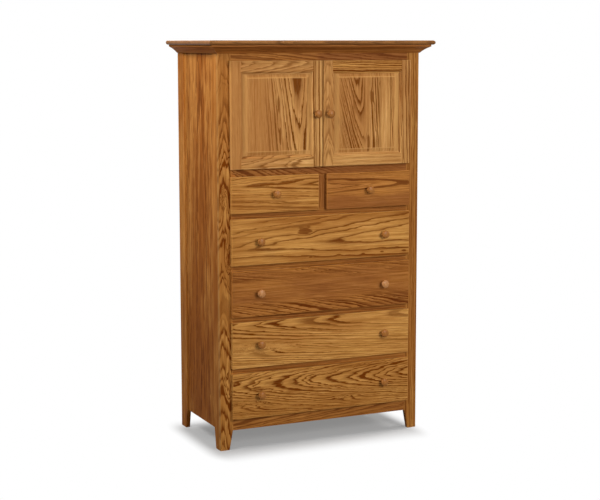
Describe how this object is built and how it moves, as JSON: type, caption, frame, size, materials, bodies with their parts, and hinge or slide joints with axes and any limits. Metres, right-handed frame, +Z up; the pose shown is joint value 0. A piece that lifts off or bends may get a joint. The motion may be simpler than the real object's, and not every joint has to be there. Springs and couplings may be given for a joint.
{
  "type": "chest armoire",
  "caption": "Tall oak chest armoire: raised-panel cupboard doors over small and wide drawers, tapered feet, cove crown and turned knobs.",
  "frame": {"origin": "on the floor, under the middle of the whole piece with its crown", "axes": "+Z up, -Y out of the front, +X to the right of someone who faces the front"},
  "size_m": [1.075, 0.547, 1.772],
  "materials": {
    "oak": "golden brown stain under satin lacquer",
    "oak_dark": "golden brown stain under satin lacquer",
    "oak_rail": "golden brown stain under satin lacquer",
    "knob_oak": "turned, stained, satin lacquer",
    "drawer_box": "clear lacquer",
    "inside_wood": "clear lacquer",
    "steel": "nickel plated",
    "felt": "pressed felt"
  },
  "bodies": {
    "case": {"front_stile_left": "oak", "front_stile_right": "oak", "side_stile_front_left": "oak", "side_stile_front_right": "oak", "side_stile_rear_left": "oak", "side_stile_rear_right": "oak", "side_panel_left": "oak_dark", "side_panel_right": "oak_dark", "top_rail": "oak_rail", "door_rail": "oak_rail", "drawer_rails": "oak_rail", "bottom_rail": "oak_rail", "drawer_divider": "oak", "runners_left": "inside_wood", "runners_right": "inside_wood", "rear_rails": "inside_wood", "centre_runner": "inside_wood", "kickers": "inside_wood", "cupboard_floor": "inside_wood", "cupboard_shelf": "oak", "shelf_pins": "steel", "back_panel": "inside_wood", "top_board": "oak", "crown_front": "oak_dark", "crown_left": "oak_dark", "crown_right": "oak_dark", "hinge_arms": "steel", "door_bumpers": "felt"},
    "left_door": {"left_door_hinge_stile": "oak", "left_door_lock_stile": "oak", "left_door_top_rail": "oak_rail", "left_door_bottom_rail": "oak_rail", "left_door_panel": "oak", "left_door_knob": "knob_oak", "left_door_hinge_cups": "steel"},
    "right_door": {"right_door_hinge_stile": "oak", "right_door_lock_stile": "oak", "right_door_top_rail": "oak_rail", "right_door_bottom_rail": "oak_rail", "right_door_panel": "oak", "right_door_knob": "knob_oak", "right_door_hinge_cups": "steel"},
    "small_drawer_left": {"small_drawer_left_front": "oak", "small_drawer_left_box": "drawer_box", "small_drawer_left_knob": "knob_oak"},
    "small_drawer_right": {"small_drawer_right_front": "oak", "small_drawer_right_box": "drawer_box", "small_drawer_right_knob": "knob_oak"},
    "drawer_1": {"drawer_1_front": "oak", "drawer_1_box": "drawer_box", "drawer_1_knobs": "knob_oak"},
    "drawer_2": {"drawer_2_front": "oak", "drawer_2_box": "drawer_box", "drawer_2_knobs": "knob_oak"},
    "drawer_3": {"drawer_3_front": "oak", "drawer_3_box": "drawer_box", "drawer_3_knobs": "knob_oak"},
    "drawer_4": {"drawer_4_front": "oak", "drawer_4_box": "drawer_box", "drawer_4_knobs": "knob_oak"}
  },
  "joints": [
    {"name": "left_door_hinge", "type": "hinge", "parent": "case", "child": "left_door", "pos_m": [-0.4235, -0.2311, 1.456], "axis": [0, 0, -1], "range_deg": [0, 100]},
    {"name": "right_door_hinge", "type": "hinge", "parent": "case", "child": "right_door", "pos_m": [0.4235, -0.2311, 1.456], "axis": [0, 0, 1], "range_deg": [0, 100]},
    {"name": "small_drawer_left_slide", "type": "slide", "parent": "case", "child": "small_drawer_left", "axis": [0, -1, 0], "range_m": [0, 0.32]},
    {"name": "small_drawer_right_slide", "type": "slide", "parent": "case", "child": "small_drawer_right", "axis": [0, -1, 0], "range_m": [0, 0.32]},
    {"name": "drawer_1_slide", "type": "slide", "parent": "case", "child": "drawer_1", "axis": [0, -1, 0], "range_m": [0, 0.32]},
    {"name": "drawer_2_slide", "type": "slide", "parent": "case", "child": "drawer_2", "axis": [0, -1, 0], "range_m": [0, 0.32]},
    {"name": "drawer_3_slide", "type": "slide", "parent": "case", "child": "drawer_3", "axis": [0, -1, 0], "range_m": [0, 0.32]},
    {"name": "drawer_4_slide", "type": "slide", "parent": "case", "child": "drawer_4", "axis": [0, -1, 0], "range_m": [0, 0.32]}
  ]
}
